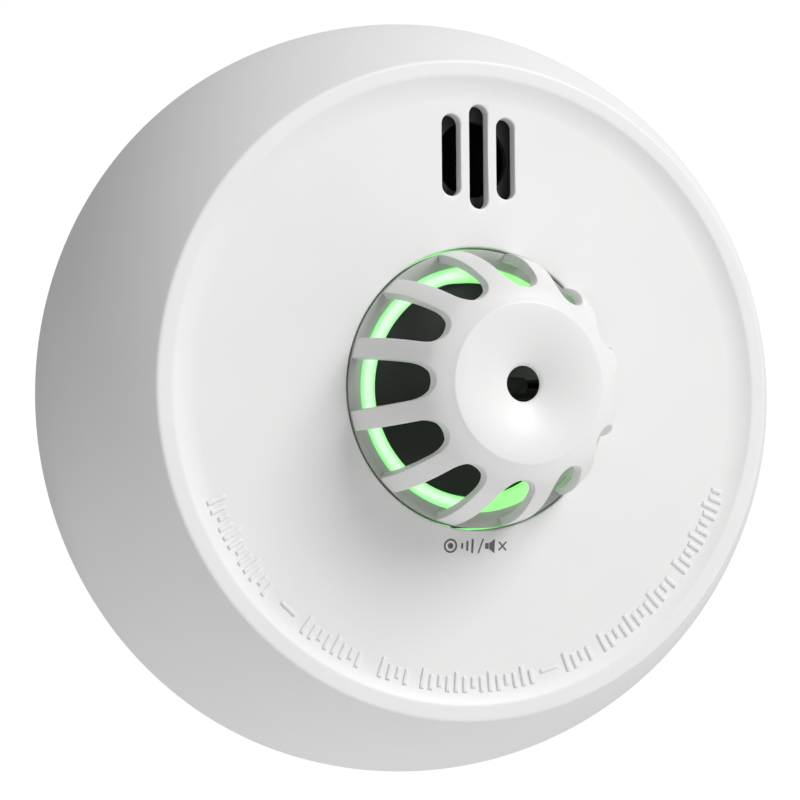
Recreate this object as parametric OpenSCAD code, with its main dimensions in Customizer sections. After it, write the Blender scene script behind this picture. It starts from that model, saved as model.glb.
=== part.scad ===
// Heat alarm with a sealed battery: a round wall or ceiling unit with a push cage in the middle of its face.
// Every shape is drawn with z as the height above the wall, x to the right and y up, then stood on the wall
// by on_wall(), so that the face looks along -Y and +Z is up.

/* [Body] */
// Largest radius of the body, at the wall
body_r = 58; // [56:0.5:62]
// Height of the front rim above the wall
body_h = 31; // [30.5:0.5:33]
// Outer radius of the flat front rim
rim_r = 47.7; // [47:0.1:49]
// Width of the flat front rim
rim_w = 2.2; // [1.5:0.1:2.6]
// Wall thickness of the front cover
wall = 2; // [1.6:0.1:2.2]
// Radius of the hollow curve inside the front rim
dish_r = 8; // [6:0.5:10]

/* [Sounder slots] */
// Width of each slot
slot_w = 2.9; // [2.4:0.1:3.2]
// Distance between neighbouring slots
slot_pitch = 4.3; // [4:0.1:4.8]
// Length of the middle slot
slot_long = 15.3; // [13:0.1:16]
// Length of the two outer slots
slot_short = 12; // [9:0.1:13]
// Height of the slots' middle above the centre of the face
slot_up = 33.8; // [33:0.1:34.5]

/* [Push cage] */
// Outer radius of the cage's foot ring
cage_r = 20.1; // [19.8:0.1:20.2]
// Height of the cage's front above the wall
cage_top = 48.6; // [48:0.1:50]
// Outer radius of the cage's flat front
hub_r = 11.1; // [10.8:0.1:11.4]
// Number of ribs
ribs = 12; // [12:1:12]
// Width of each rib
rib_w = 2.9; // [2.5:0.1:3.2]
// Radius at which the openings between the ribs start
opening_in = 13.3; // [13:0.1:14]
// Radius of the hole in the middle of the cage
eye_r = 2.5; // [2:0.1:3]
// Gap between the cage and the face
cage_gap = 0.3; // [0.3:0.05:0.5]
// How far the cage can be pressed in
press_travel = 1; // [0.6:0.1:1]

/* [Fixing] */
// Distance between the two fixing slots
fix_pitch = 60; // [56:1:62]
// Width of a fixing slot
fix_w = 4.4; // [4:0.1:5]
// Length of a fixing slot, end to end
fix_l = 8.4; // [7:0.1:9]
// Angle that the alarm turns to come off its plate
twist = 20; // [18:1:20]

/* [Battery] */
// Radius of the lithium cell
cell_r = 8.5; // [8:0.1:8.6]
// Length of the lithium cell
cell_l = 34.5; // [33:0.5:35]

/* [Hidden] */
$fn = 96;
eps = 0.01;
over = 1;                                    // how far a cutter runs past the surface it cuts

// Outer wall: one arc, upright just above the wall and leaning in at the rim
arc_y = 1;                                   // height at which the wall is upright
lean = body_r - rim_r;
rise = body_h - arc_y;
arc_r = (lean * lean + rise * rise) / (2 * lean);
arc_x = body_r - arc_r;
skirt_y = 0.6;                               // clear of the wall behind
roof_in = 29.3;                              // underside of the face, at the collar
roof_out = 28.15;                            // underside of the face, at the rim
face_mid = 31.5;                             // face height at the collar
dish_w = 3.6;                                // width of the hollow curve
dish_x = rim_r - rim_w - dish_w;             // radius where the hollow curve starts
dish_y = body_h - dish_r + sqrt(dish_r * dish_r - dish_w * dish_w);

collar_r = cage_r + cage_gap;
collar_t = 1.4;
collar_low = 27.05;

// Height levels of what is inside
floor_out = 5.4;
floor_in = 7.2;
board_low = 12;
board_top = 13.6;
flange_low = 24.6;
flange_top = 26;
guide_low = 26.05;
guide_flange = 0.95;                         // thickness of the light ring's flange
guide_top = 30.3;
deck_top = 29;
ring_low = guide_low + guide_flange + press_travel + 0.6;   // underside of the cage's foot ring
ledge = 31.3;                                // top of the foot ring between the ribs

frame_r = 15.5;
frame_in = 13.9;
flange_r = 21.6;
guide_in = 15.7;
guide_out = 17.7;
leg_r = 18.9;                                // middle of the cage's legs and springs
leg_angles = [15, 165, 270];
peg_angles = [90, 210, 330];                 // pegs that stand the frame on the circuit board
leg_w = 4;
leg_t = 1.4;
spring_angles = [50, 130, 230, 310];
spring_r = 1.2;                              // radius of a spring's centre line
spring_wire = 0.2;
spring_turns = 5;
spring_low = 21.5;
cup_r = 2.4;
cup_in = 1.65;
cup_low = 20.6;
light_angles = [35, 145, 195, 345];
light_r = 17.5;
pipe_r = 1.1;

// Test switch, under the first leg
stem_r = 1.6;
stem_top = 18.85;
stem_low = 15.2;
switch_w = 6;
switch_top = 17.1;

// Screws that hold the rear housing to the cover, and the board to the housing
boss_r = 43;
boss_angles = [30, 150, 270];
boss_d = 6.4;
board_r = 49;
post_at = [[40, -8], [-40, -8]];

// Sounder
horn_y = 32;
horn_r = 14;
neck_y = 34.3;
neck_r = 11.8;
horn_low = 15.5;
horn_step = 23.6;
horn_top = 27.6;
mouth_r = 5.6;
piezo_h = 19;
piezo_r = 12.4;

// Battery
cell_y = -30;
cell_z = floor_in + 0.4 + cell_r;
notch_x = cell_l / 2 + 2.3;
notch_y = -20.2;

// Twist lock
plate_r = 46.6;
plate_t = 1.9;
lug_span = 16;
lug_angles = [90, 210, 330];
lug_r = 49.9;
lug_top = 3.4;
lip_in = 47.2;
lip_low = 0.8;
lip_top = 1.6;
lock_in = 50.4;
lock_out = 52;
key_r = 36;
key_angle = 55;
key_pin = 1.6;

// Power plunger and the ramp that works it
plunger_at = 30;
plunger_angle = 135;
plunger_r = 1.3;
plunger_tip = 4.5;                           // height of the tip with the alarm locked on
plunger_drop = 2;                            // how far it comes out as the alarm is turned off
ramp_half = plunger_at * sin(twist / 2);     // half of the way that the plunger goes along the ramp
ramp_slope = plunger_drop / (2 * ramp_half);

// Thermistor
bead_h = 42.4;
bead_r = 1.15;
bead_l = 4.6;
bead_x = -0.3;
post_x = 8.5;
lead_gap = 0.45;

module on_wall() { rotate([90, 0, 0]) children(); }
module at(r, a) { rotate([0, 0, a]) translate([r, 0, 0]) children(); }
module ring(r_in, r_out, low, top) {
  translate([0, 0, low]) difference() {
    cylinder(r = r_out, h = top - low);
    translate([0, 0, -over]) cylinder(r = r_in, h = top - low + 2 * over);
  }
}
module ring_piece(r_in, r_out, low, top, from, span) {
  rotate([0, 0, from]) rotate_extrude(angle = span)
    translate([r_in, low]) square([r_out - r_in, top - low]);
}
module long_hole(w, l, low, top) {
  translate([0, 0, low]) {
    translate([-(l - w) / 2, -w / 2, 0]) cube([l - w, w, top - low]);
    for (s = [-1, 1]) translate([s * (l - w) / 2, 0, 0]) cylinder(d = w, h = top - low);
  }
}
module box_at(x, y, low, size) { translate([x - size[0] / 2, y - size[1] / 2, low]) cube(size); }

// ---- Front cover -------------------------------------------------------------------------------------

module cover_outline() {
  difference() {
    intersection() {
      translate([0, skirt_y]) square([body_r + 5, face_mid + over]);
      union() {
        intersection() {
          translate([arc_x, arc_y]) circle(r = arc_r);
          square([body_r + 5, body_h]);
        }
        square([dish_x, face_mid]);
      }
    }
    polygon([[collar_r, face_mid], [dish_x, dish_y], [dish_x, face_mid + 2], [collar_r, face_mid + 2]]);
    intersection() {
      translate([dish_x, dish_y + dish_r]) circle(r = dish_r);
      translate([dish_x - eps, dish_y - over]) square([dish_w + eps, dish_r]);
    }
  }
}

module cover_hollow() {
  intersection() {
    translate([arc_x, arc_y]) circle(r = arc_r - wall);
    polygon([[0, -over], [body_r, -over], [body_r, roof_out], [rim_r - 1, roof_out],
      [collar_r + collar_t, roof_in], [0, roof_in]]);
  }
}

module sounder_slot(x, l) {
  translate([x, slot_up, roof_out - 3]) rotate([0, 0, 90]) long_hole(slot_w, l, 0, 8);
}

module front_cover() {
  color("white") on_wall() difference() {
    union() {
      rotate_extrude() difference() {
        cover_outline();
        cover_hollow();
      }
      ring(collar_r - 0.2, collar_r + collar_t, collar_low, roof_in + 0.5);
      for (a = boss_angles) at(boss_r, a) translate([0, 0, floor_in])
        cylinder(d = boss_d, h = roof_out - floor_in + 0.6);
    }
    translate([0, 0, collar_low - over]) cylinder(r = collar_r, h = 8);
    sounder_slot(0, slot_long);
    for (s = [-1, 1]) sounder_slot(s * slot_pitch, slot_short);
    for (a = boss_angles) at(boss_r, a) translate([0, 0, floor_in - over])
      cylinder(r = 1.35, h = 14);
  }
}

// ---- Push cage ---------------------------------------------------------------------------------------

// The cage's side is a shallow arc up to a knee, and a tighter arc from there to the hub
foot = [cage_r, ledge + 0.4];
brow = [13.6, cage_top - 1.2];
bulge = 1.2;
chord = norm(brow - foot);
side_r = (chord * chord / 4 + bulge * bulge) / (2 * bulge);
inward = [foot[1] - brow[1], brow[0] - foot[0]] / chord;               // from the arc towards its centre
side_c = (foot + brow) / 2 + inward * (side_r - bulge);
knee_y = cage_top - 2.2;
knee = [side_c[0] + sqrt(side_r * side_r - pow(knee_y - side_c[1], 2)), knee_y];
knee_a = asin((knee_y - side_c[1]) / side_r) + 2;                      // 2 degrees of crease at the knee
knee_n = [cos(knee_a), sin(knee_a)];
hub_edge = [hub_r + 0.55, cage_top - 0.35];
span = hub_edge - knee;
knee_r = -(span * span) / (2 * span * knee_n);
knee_c = knee - knee_r * knee_n;
cage_t = 1.3;
hub_low = cage_top - 3.5;                    // underside of the hub
band_w = 1.1;                                // flat band around the funnel
funnel_d = 2;                                // depth of the funnel
funnel_x = hub_r - band_w;
funnel_c = funnel_x + 1.2;                   // past the band, so that the funnel starts with a soft crease
funnel_h = (pow(funnel_c - eye_r, 2) - pow(funnel_c - funnel_x, 2) + funnel_d * funnel_d) / (2 * funnel_d);
funnel_r = norm([funnel_c - funnel_x, funnel_h]);

module cage_outline() {
  difference() {
    intersection() {
      translate(side_c) circle(r = side_r);
      union() {
        translate([0, ring_low + 1]) square([cage_r, knee_y - ring_low - 1]);
        intersection() {
          translate(knee_c) circle(r = knee_r);
          translate([hub_edge[0] - 1, knee_y - 1]) square([cage_r, 4]);
        }
        translate([0, knee_y - 1]) polygon([[0, 0], [hub_edge[0], 0],
          [hub_edge[0], hub_edge[1] - knee_y + 1], [hub_r, cage_top - knee_y + 1],
          [0, cage_top - knee_y + 1]]);
      }
    }
    difference() {
      translate([-over, cage_top - 6]) square([funnel_x + over, 10]);
      translate([funnel_c, cage_top - funnel_h]) circle(r = funnel_r);
    }
    intersection() {
      translate(side_c) circle(r = side_r - cage_t);
      translate([-over, 0]) square([cage_r + 2, hub_low]);
    }
    translate([-over, 0]) square([guide_out + 0.3 + over, ledge + 0.2]);
  }
  translate([guide_out + 0.3, ring_low]) square([cage_r - guide_out - 0.3, ledge - ring_low]);
}

module cage_opening() {
  half = 180 / ribs;
  c = (opening_in - rib_w / 2) / (1 - sin(half));
  round_r = c * sin(half) - rib_w / 2;
  far = cage_r + 4;
  far_r = far * sin(half) - rib_w / 2;
  near = [c - round_r * sin(half), round_r * cos(half)];
  wide = [far - far_r * sin(half), far_r * cos(half)];
  translate([0, 0, ledge]) linear_extrude(height = hub_low + 2 - ledge) {
    polygon([near, [near[0], -near[1]], [wide[0], -wide[1]], wide]);
    translate([c, 0]) circle(r = round_r);
  }
}

module cage_leg(a, low) {
  at(leg_r, a) {
    box_at(0, 0, low, [leg_t, leg_w, ring_low - low + 0.5]);
    box_at(leg_t / 2 + 0.35, 0, flange_low - 1.2, [1, leg_w, 1.1]);
  }
}

module push_cage() {
  color("white") on_wall() {
    difference() {
      rotate_extrude() cage_outline();
      translate([0, 0, ledge]) cylinder(r = eye_r, h = 30);
      translate([0, 0, hub_low - 0.4])
        cylinder(r1 = eye_r + 1.3, r2 = eye_r, h = cage_top - funnel_d - hub_low);
      for (i = [0 : ribs - 1]) rotate([0, 0, i * 360 / ribs]) cage_opening();
    }
    for (i = [0 : 2]) cage_leg(leg_angles[i], i == 0 ? stem_top + 0.05 : flange_low - 2);
  }
}

// One spring as a tube swept along a helix
spring_high = ring_low - 0.05;
coil_steps = 10;
tube_sides = 6;
coil_n = spring_turns * coil_steps;
function coil_point(i, j) = let(
    a = 360 * i / coil_steps,
    b = 360 * j / tube_sides,
    z = spring_low + spring_wire + (spring_high - spring_low - 2 * spring_wire) * i / coil_n,
    r = spring_r + spring_wire * cos(b))
  [r * cos(a), r * sin(a), z + spring_wire * sin(b)];
module coil_spring() {
  points = [for (i = [0 : coil_n]) for (j = [0 : tube_sides - 1]) coil_point(i, j)];
  sides = [for (i = [0 : coil_n - 1]) for (j = [0 : tube_sides - 1]) let(k = (j + 1) % tube_sides)
    [i * tube_sides + j, i * tube_sides + k, (i + 1) * tube_sides + k, (i + 1) * tube_sides + j]];
  start = [for (j = [tube_sides - 1 : -1 : 0]) j];
  end = [for (j = [0 : tube_sides - 1]) coil_n * tube_sides + j];
  polyhedron(points = points, faces = concat([start], sides, [end]));
}
module cage_springs() { color("silver") on_wall() for (a = spring_angles) at(leg_r, a) coil_spring(); }

// ---- Sensor chamber and light ring -------------------------------------------------------------------

module inner_frame() {
  color([0.13, 0.135, 0.125]) on_wall() difference() {
    union() {
      ring(frame_in, frame_r, board_top, deck_top - 0.5);
      translate([0, 0, deck_top - 1.4]) cylinder(r = frame_r, h = 1.4);
      ring(frame_r - 0.5, flange_r, flange_low, flange_top);
      for (a = spring_angles) at(leg_r, a) translate([0, 0, cup_low])
        cylinder(r = cup_r, h = flange_top - cup_low - 0.4);
      for (a = peg_angles) at((frame_r + frame_in) / 2, a) translate([0, 0, board_low])
        cylinder(r = 0.7, h = 3);
    }
    for (a = spring_angles) at(leg_r, a) translate([0, 0, spring_low - 0.05])
      cylinder(r = cup_in, h = 8);
    for (a = leg_angles) at(leg_r, a)
      box_at(0, 0, flange_low - over, [leg_t + 0.7, leg_w + 0.8, 4]);
    for (a = light_angles) at(light_r, a) translate([0, 0, flange_low - over])
      cylinder(r = pipe_r + 0.2, h = 4);
    box_at(post_x, 0, deck_top - 2, [2.4, 1.4, 3]);
  }
}

module light_guide() {
  color([0.55, 1, 0.55]) on_wall() difference() {
    union() {
      ring(guide_in, guide_out, guide_low, guide_top);
      ring(guide_in, flange_r, guide_low, guide_low + guide_flange);
      for (a = light_angles) at(light_r, a) translate([0, 0, board_top + 1.2])
        cylinder(r = pipe_r, h = guide_low - board_top - 0.8);
    }
    for (a = spring_angles) at(leg_r, a) translate([0, 0, guide_low - over])
      cylinder(r = cup_in, h = 8);
    for (a = leg_angles) at(leg_r + 0.2, a)
      box_at(0, 0, guide_low - over, [leg_t + 0.7, leg_w + 0.8, 2.2]);
  }
}

module thermistor_bead() {
  color([0.1, 0.1, 0.1]) on_wall() translate([bead_x - bead_l / 2, 0, bead_h]) rotate([0, 90, 0]) {
    translate([0, 0, bead_r]) cylinder(r = bead_r, h = bead_l - 1.5 * bead_r);
    translate([0, 0, bead_r]) sphere(r = bead_r);
    translate([0, 0, bead_l - bead_r / 2]) cylinder(r1 = bead_r, r2 = bead_r * 0.75, h = bead_r / 2);
  }
}

module bent_lead(x, z) {
  lead_r = 0.3;
  from = bead_x + bead_l / 2;
  translate([from, 0, z]) rotate([0, 90, 0]) cylinder(r = lead_r, h = x - from, $fn = 32);
  translate([x, 0, z]) sphere(r = lead_r, $fn = 32);
  translate([x, 0, board_top]) cylinder(r = lead_r, h = z - board_top, $fn = 32);
}
module thermistor_leads() {
  color([0.12, 0.12, 0.12]) on_wall() for (s = [-1, 1])
    bent_lead(post_x + s * lead_gap, bead_h + s * lead_gap);
}

module thermistor_post() {
  color([0.12, 0.12, 0.12]) on_wall() difference() {
    union() {
      box_at(post_x, 0, deck_top, [4, 2.6, 9]);
      box_at(post_x, 0, deck_top - 1.4, [2.2, 1.2, 2]);
    }
    for (s = [-1, 1]) translate([post_x + s * lead_gap, 0, deck_top - 4]) cylinder(r = 0.36, h = 20);
  }
}

// ---- Sounder -----------------------------------------------------------------------------------------

module sounder_horn() {
  color([0.1, 0.1, 0.1]) on_wall() difference() {
    union() {
      translate([0, horn_y, horn_low]) cylinder(r = horn_r, h = horn_step - horn_low);
      translate([0, neck_y, horn_step - over]) cylinder(r = neck_r, h = horn_top - horn_step + over);
      for (a = [30, 150, 270]) translate([0, horn_y, board_top]) at(horn_r - 1.5, a)
        cylinder(r = 1.2, h = 3);
    }
    translate([0, horn_y, 0]) {
      translate([0, 0, board_top - over]) cylinder(r = piezo_r + 0.1, h = piezo_h - board_top + over + 0.45);
      translate([0, 0, piezo_h]) cylinder(r = piezo_r - 1, h = horn_step - 1.2 - piezo_h);
    }
    translate([0, neck_y, piezo_h + 1]) cylinder(r = neck_r - 1.4, h = horn_top - 1.4 - piezo_h - 1);
    translate([0, slot_up, horn_step]) cylinder(r = mouth_r, h = 8);
  }
}

module sounder_gasket() {
  color([0.25, 0.25, 0.25]) on_wall() translate([0, neck_y, 0])
    ring(neck_r - 2, neck_r - 0.2, horn_top, horn_top + 0.5);
}
module piezo_disc() {
  color("goldenrod") on_wall() translate([0, horn_y, piezo_h + 0.1]) cylinder(r = piezo_r, h = 0.3);
}
module piezo_ceramic() {
  color("gainsboro") on_wall() translate([0, horn_y, piezo_h - 0.15]) cylinder(r = 9, h = 0.25);
}
module contact_pin(x, y, top) {
  translate([x, y, board_top]) {
    cylinder(r = 0.9, h = 2.2);
    cylinder(r = 0.5, h = top - board_top - 0.3);
    translate([0, 0, top - board_top - 0.5]) cylinder(r1 = 0.5, r2 = 0.25, h = 0.5);
  }
}
module sounder_contacts() {
  color("gold") on_wall() {
    contact_pin(0, horn_y, piezo_h - 0.15);
    contact_pin(6.5, horn_y, piezo_h - 0.15);
    contact_pin(-10.8, horn_y, piezo_h + 0.1);
  }
}

// ---- Circuit board -----------------------------------------------------------------------------------

module circuit_board() {
  color("seagreen") on_wall() difference() {
    translate([0, 0, board_low]) cylinder(r = board_r, h = board_top - board_low);
    translate([-notch_x, -board_r - over, board_low - over])
      cube([2 * notch_x, board_r + over + notch_y, 4]);
    for (a = boss_angles) at(boss_r, a) translate([0, 0, board_low - over])
      cylinder(d = boss_d + 0.6, h = 4);
    for (p = post_at) translate([p[0], p[1], board_low - over]) cylinder(r = 1.2, h = 4);
    for (a = peg_angles) at((frame_r + frame_in) / 2, a) translate([0, 0, board_low - over])
      cylinder(r = 0.8, h = 4);
  }
}

module control_chips() {
  color([0.08, 0.08, 0.09]) on_wall() {
    box_at(-31, 12, board_top + 0.1, [9, 9, 1.4]);
    box_at(31, 4, board_top + 0.1, [5, 6, 1.4]);
    box_at(30, -12, board_top + 0.1, [3, 3, 1]);
    for (s = [-1, 1]) for (i = [-3 : 3]) box_at(-31 + s * 4.8, 12 + i * 1.1, board_top, [1.2, 0.4, 0.3]);
    for (s = [-1, 1]) for (i = [-1.5 : 1.5]) box_at(31 + s * 2.8, 4 + i * 1.27, board_top, [1, 0.4, 0.3]);
  }
}
module chip_resistors() {
  color([0.2, 0.2, 0.22]) on_wall() for (i = [0 : 5]) {
    box_at(-24, -14 + i * 2.4, board_top, [2, 1.2, 0.5]);
    box_at(24 + 0.8 * i, 22 + 1.6 * i, board_top, [1.6, 0.8, 0.5]);
    box_at(-40 + 2.6 * i, -16, board_top, [1.2, 2, 0.5]);
  }
}
module can_capacitor(x, y, r, h) {
  translate([x, y, board_top]) {
    cylinder(r = r, h = h);
    box_at(0, 0, 0, [2 * r + 0.6, 2 * r + 0.6, 0.6]);
  }
}
module filter_capacitors() {
  color("lightsteelblue") on_wall() {
    can_capacitor(38, 12, 3.15, 7);
    can_capacitor(-41, 1, 2.5, 6);
  }
}
module sounder_coil() {
  color([0.2, 0.2, 0.2]) on_wall() translate([24.5, -9, board_top]) {
    cylinder(r = 4, h = 1);
    cylinder(r = 2.4, h = 7);
    translate([0, 0, 6]) cylinder(r = 4, h = 1);
    translate([0, 0, 0.9]) cylinder(r = 3.6, h = 5.2);
  }
}
module status_lights() {
  color("honeydew") on_wall() for (a = light_angles) at(light_r, a) box_at(0, 0, board_top, [1.4, 2, 0.8]);
}

module test_switch_body() {
  color([0.15, 0.15, 0.15]) on_wall() at(leg_r, leg_angles[0]) difference() {
    box_at(0, 0, board_top, [switch_w, switch_w, switch_top - board_top]);
    translate([0, 0, board_top + 0.4]) cylinder(r = stem_r + 0.08, h = 8);
  }
}
module test_switch_stem() {
  color([0.75, 0.2, 0.15]) on_wall() at(leg_r, leg_angles[0]) translate([0, 0, stem_low])
    cylinder(r = stem_r, h = stem_top - stem_low);
}

// ---- Battery -----------------------------------------------------------------------------------------

module battery_cell() {
  color("silver") on_wall() translate([-cell_l / 2, cell_y, cell_z]) rotate([0, 90, 0]) {
    cylinder(r = cell_r - 0.2, h = cell_l - 1);
    translate([0, 0, cell_l - 1 - eps]) cylinder(r = 3.2, h = 1 + eps);
  }
}
module battery_wrap() {
  color("mediumseagreen") on_wall() translate([-cell_l / 2 + 0.5, cell_y, cell_z]) rotate([0, 90, 0])
    ring(cell_r - 0.19, cell_r, 0, cell_l - 2);
}
module battery_tab(s) {
  tab_w = 5;
  x_in = cell_l / 2 + 0.02;
  x_out = notch_x + 3;
  reach = x_out - x_in;
  box_at(s * (x_in + 0.1), cell_y, board_top + 0.02, [0.2, tab_w, 4]);
  box_at(s * (x_in + reach / 2), cell_y, board_top + 0.02, [reach, tab_w, 0.2]);
}
module battery_tabs() { color("lightgray") on_wall() for (s = [-1, 1]) battery_tab(s); }

// ---- Rear housing and its screws ---------------------------------------------------------------------

module cell_saddle(x) {
  difference() {
    box_at(x, cell_y, floor_in - 0.4, [2, 19, 5.2]);
    translate([x - 2, cell_y, cell_z]) rotate([0, 90, 0]) cylinder(r = cell_r + 0.15, h = 4);
  }
}

module rear_housing() {
  color("whitesmoke") on_wall() difference() {
    union() {
      translate([0, 0, floor_out]) cylinder(r = body_r - wall - 0.7, h = floor_in - floor_out);
      ring(lock_out + 0.2, lock_out + 2.2, floor_in - 0.4, 11.5);
      ring(lock_in, lock_out, lip_low, floor_out + 0.5);
      for (a = lug_angles) ring_piece(lip_in, lock_in + 0.5, lip_low, lip_top, a - lug_span / 2, lug_span);
      at(key_r, key_angle) translate([0, 0, lip_low]) cylinder(r = key_pin, h = floor_out - lip_low + 0.5);
      for (p = post_at) translate([p[0], p[1], floor_in - 0.4])
        cylinder(r = 2.8, h = board_low - floor_in + 0.4);
      for (s = [-1, 1]) cell_saddle(s * 11);
      for (s = [-1, 1]) box_at(s * (cell_l / 2 + 1.4), cell_y, floor_in - 0.4, [1.2, 12, 4.4]);
    }
    for (a = boss_angles) at(boss_r, a) translate([0, 0, floor_out - over]) cylinder(r = 1.6, h = 6);
    for (p = post_at) translate([p[0], p[1], floor_in + 0.6]) cylinder(r = 1.05, h = 6);
    at(plunger_at, plunger_angle) translate([0, 0, floor_out - over]) cylinder(r = plunger_r + 0.15, h = 6);
  }
}

module pan_screw(head_r, head_h, shank_r, shank_l) {
  difference() {
    union() {
      translate([0, 0, -head_h]) cylinder(r = head_r, h = head_h);
      cylinder(r = shank_r, h = shank_l);
      translate([0, 0, shank_l]) cylinder(r1 = shank_r, r2 = 0.2, h = 1.2);
    }
    for (a = [0, 90]) rotate([0, 0, a]) box_at(0, 0, -head_h - over, [head_r, 0.6, over + head_h / 2]);
  }
}
module housing_screws() {
  color("silver") on_wall() for (a = boss_angles) at(boss_r, a) translate([0, 0, floor_out])
    pan_screw(2.6, 1.6, 1.3, 10);
}
module board_screws() {
  color("silver") on_wall() for (p = post_at) translate([p[0], p[1], board_top]) mirror([0, 0, 1])
    pan_screw(1.9, 1.1, 1, 4);
}
module rating_label() {
  color("gainsboro") on_wall() box_at(0, -10, floor_out - 0.15, [42, 22, 0.15]);
}

module power_switch_body() {
  color([0.15, 0.15, 0.15]) on_wall() at(plunger_at, plunger_angle) difference() {
    box_at(0, 0, floor_in + 0.2, [7, 7, board_low - floor_in - 0.2]);
    translate([0, 0, floor_in - over]) cylinder(r = 2.3, h = board_low - floor_in + over - 0.5);
  }
}
module power_plunger() {
  color("ivory") on_wall() at(plunger_at, plunger_angle) {
    translate([0, 0, plunger_tip + plunger_r]) {
      sphere(r = plunger_r);
      cylinder(r = plunger_r, h = 11.2 - plunger_tip - plunger_r);
    }
    translate([0, 0, 9.8]) cylinder(r = 2, h = 0.8);
  }
}

// ---- Mounting plate ----------------------------------------------------------------------------------

// A wedge under the plunger's path: the plunger slides down it as the alarm is turned off
module plunger_ramp() {
  lean_in = plunger_r / cos(atan(ramp_slope)) - plunger_r;     // the round tip touches a slope a little early
  end = ramp_half + 1.6;
  mid = plunger_tip - plunger_drop / 2 - lean_in - 0.08;
  rotate([0, 0, plunger_angle + twist / 2]) translate([plunger_at * cos(twist / 2), 0, 0])
    rotate([90, 0, 90]) translate([0, 0, -2.6]) linear_extrude(height = 4.6)
      polygon([[-end, plate_t - 0.4], [end, plate_t - 0.4], [end, mid - ramp_slope * end],
        [-end, mid + ramp_slope * end]]);
}

module key_slot() {
  end_r = key_pin + 0.5;                      // rounder than the slot is wide, so that a turned pin has room
  half_w = key_pin + 0.35;
  ring_piece(key_r - half_w, key_r + half_w, -over, plate_t + over, key_angle, twist);
  for (a = [key_angle, key_angle + twist]) at(key_r, a)
    translate([0, 0, -over]) cylinder(r = end_r, h = plate_t + 2 * over);
}

module mounting_plate() {
  color("whitesmoke") on_wall() difference() {
    union() {
      cylinder(r = plate_r, h = plate_t);
      for (a = lug_angles) {
        ring_piece(plate_r - 3, lug_r, plate_t, lug_top, a - lug_span / 2, lug_span);
        ring_piece(plate_r - 2.4, plate_r - 0.6, 1, lug_top - 0.5, a - lug_span / 2 + 1, lug_span - 2);
      }
      ring(24, 25.2, plate_t - 0.4, plate_t + 0.7);
      for (s = [-1, 1]) translate([s * fix_pitch / 2, 0, 0]) cylinder(r = 7, h = plate_t + 0.7);
      plunger_ramp();
    }
    for (s = [-1, 1]) translate([s * fix_pitch / 2, 0, 0]) long_hole(fix_w, fix_l, -over, plate_t + 2);
    key_slot();
  }
}

mounting_plate();
rear_housing();
front_cover();
inner_frame();
light_guide();
push_cage();
cage_springs();
test_switch_body();
test_switch_stem();
circuit_board();
control_chips();
chip_resistors();
filter_capacitors();
sounder_coil();
status_lights();
thermistor_bead();
thermistor_leads();
thermistor_post();
sounder_horn();
sounder_gasket();
piezo_disc();
piezo_ceramic();
sounder_contacts();
battery_cell();
battery_wrap();
battery_tabs();
power_switch_body();
power_plunger();
housing_screws();
board_screws();
rating_label();
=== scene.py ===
import math

import bmesh
import bpy
from mathutils import Matrix, Vector


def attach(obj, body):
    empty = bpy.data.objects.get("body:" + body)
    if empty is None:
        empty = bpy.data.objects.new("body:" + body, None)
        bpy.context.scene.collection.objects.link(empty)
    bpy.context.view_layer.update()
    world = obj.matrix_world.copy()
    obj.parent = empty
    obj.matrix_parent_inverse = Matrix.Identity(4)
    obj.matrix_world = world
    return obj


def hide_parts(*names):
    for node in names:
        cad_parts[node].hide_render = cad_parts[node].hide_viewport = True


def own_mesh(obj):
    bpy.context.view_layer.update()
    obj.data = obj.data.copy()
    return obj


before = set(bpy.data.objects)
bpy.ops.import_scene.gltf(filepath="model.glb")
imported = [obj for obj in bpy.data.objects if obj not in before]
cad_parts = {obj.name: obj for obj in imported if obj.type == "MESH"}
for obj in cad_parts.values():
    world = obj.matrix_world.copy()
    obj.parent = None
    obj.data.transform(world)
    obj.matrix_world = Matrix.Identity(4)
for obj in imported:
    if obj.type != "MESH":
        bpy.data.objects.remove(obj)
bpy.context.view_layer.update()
print("frame loaded")

mm = 0.001
scene = bpy.context.scene
scene.view_settings.view_transform = "Standard"
scene.view_settings.look = "None"


# camera

cameraSet = {
    "target": Vector((-12.1, -31.0, -1.96)) * mm,
    "distance": 307.7 * mm,
    "azimuth": -21.65,  # degrees, 0 looks along +Y
    "elevation": -2.79,
    "roll": 0.68,
    "lens": 97.36,
}


def addCamera(made):
    az, el, roll = (math.radians(made[k]) for k in ("azimuth", "elevation", "roll"))
    back = Vector((math.sin(az) * math.cos(el), -math.cos(az) * math.cos(el), math.sin(el)))
    right = back.cross(Vector((0, 0, -1))).normalized()
    up = back.cross(right)
    turnedRight = right * math.cos(roll) + up * math.sin(roll)
    turnedUp = up * math.cos(roll) - right * math.sin(roll)
    lens = bpy.data.cameras.new("camera")
    lens.lens, lens.sensor_width, lens.clip_start = made["lens"], 36, 0.01
    camera = bpy.data.objects.new("camera", lens)
    scene.collection.objects.link(camera)
    matrix = Matrix((turnedRight, turnedUp, back)).transposed().to_4x4()
    matrix.translation = made["target"] + back * made["distance"]
    camera.matrix_world = matrix
    scene.camera = camera


addCamera(cameraSet)
print("camera placed")


# shader sums: a socket that takes part in ordinary expressions


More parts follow.
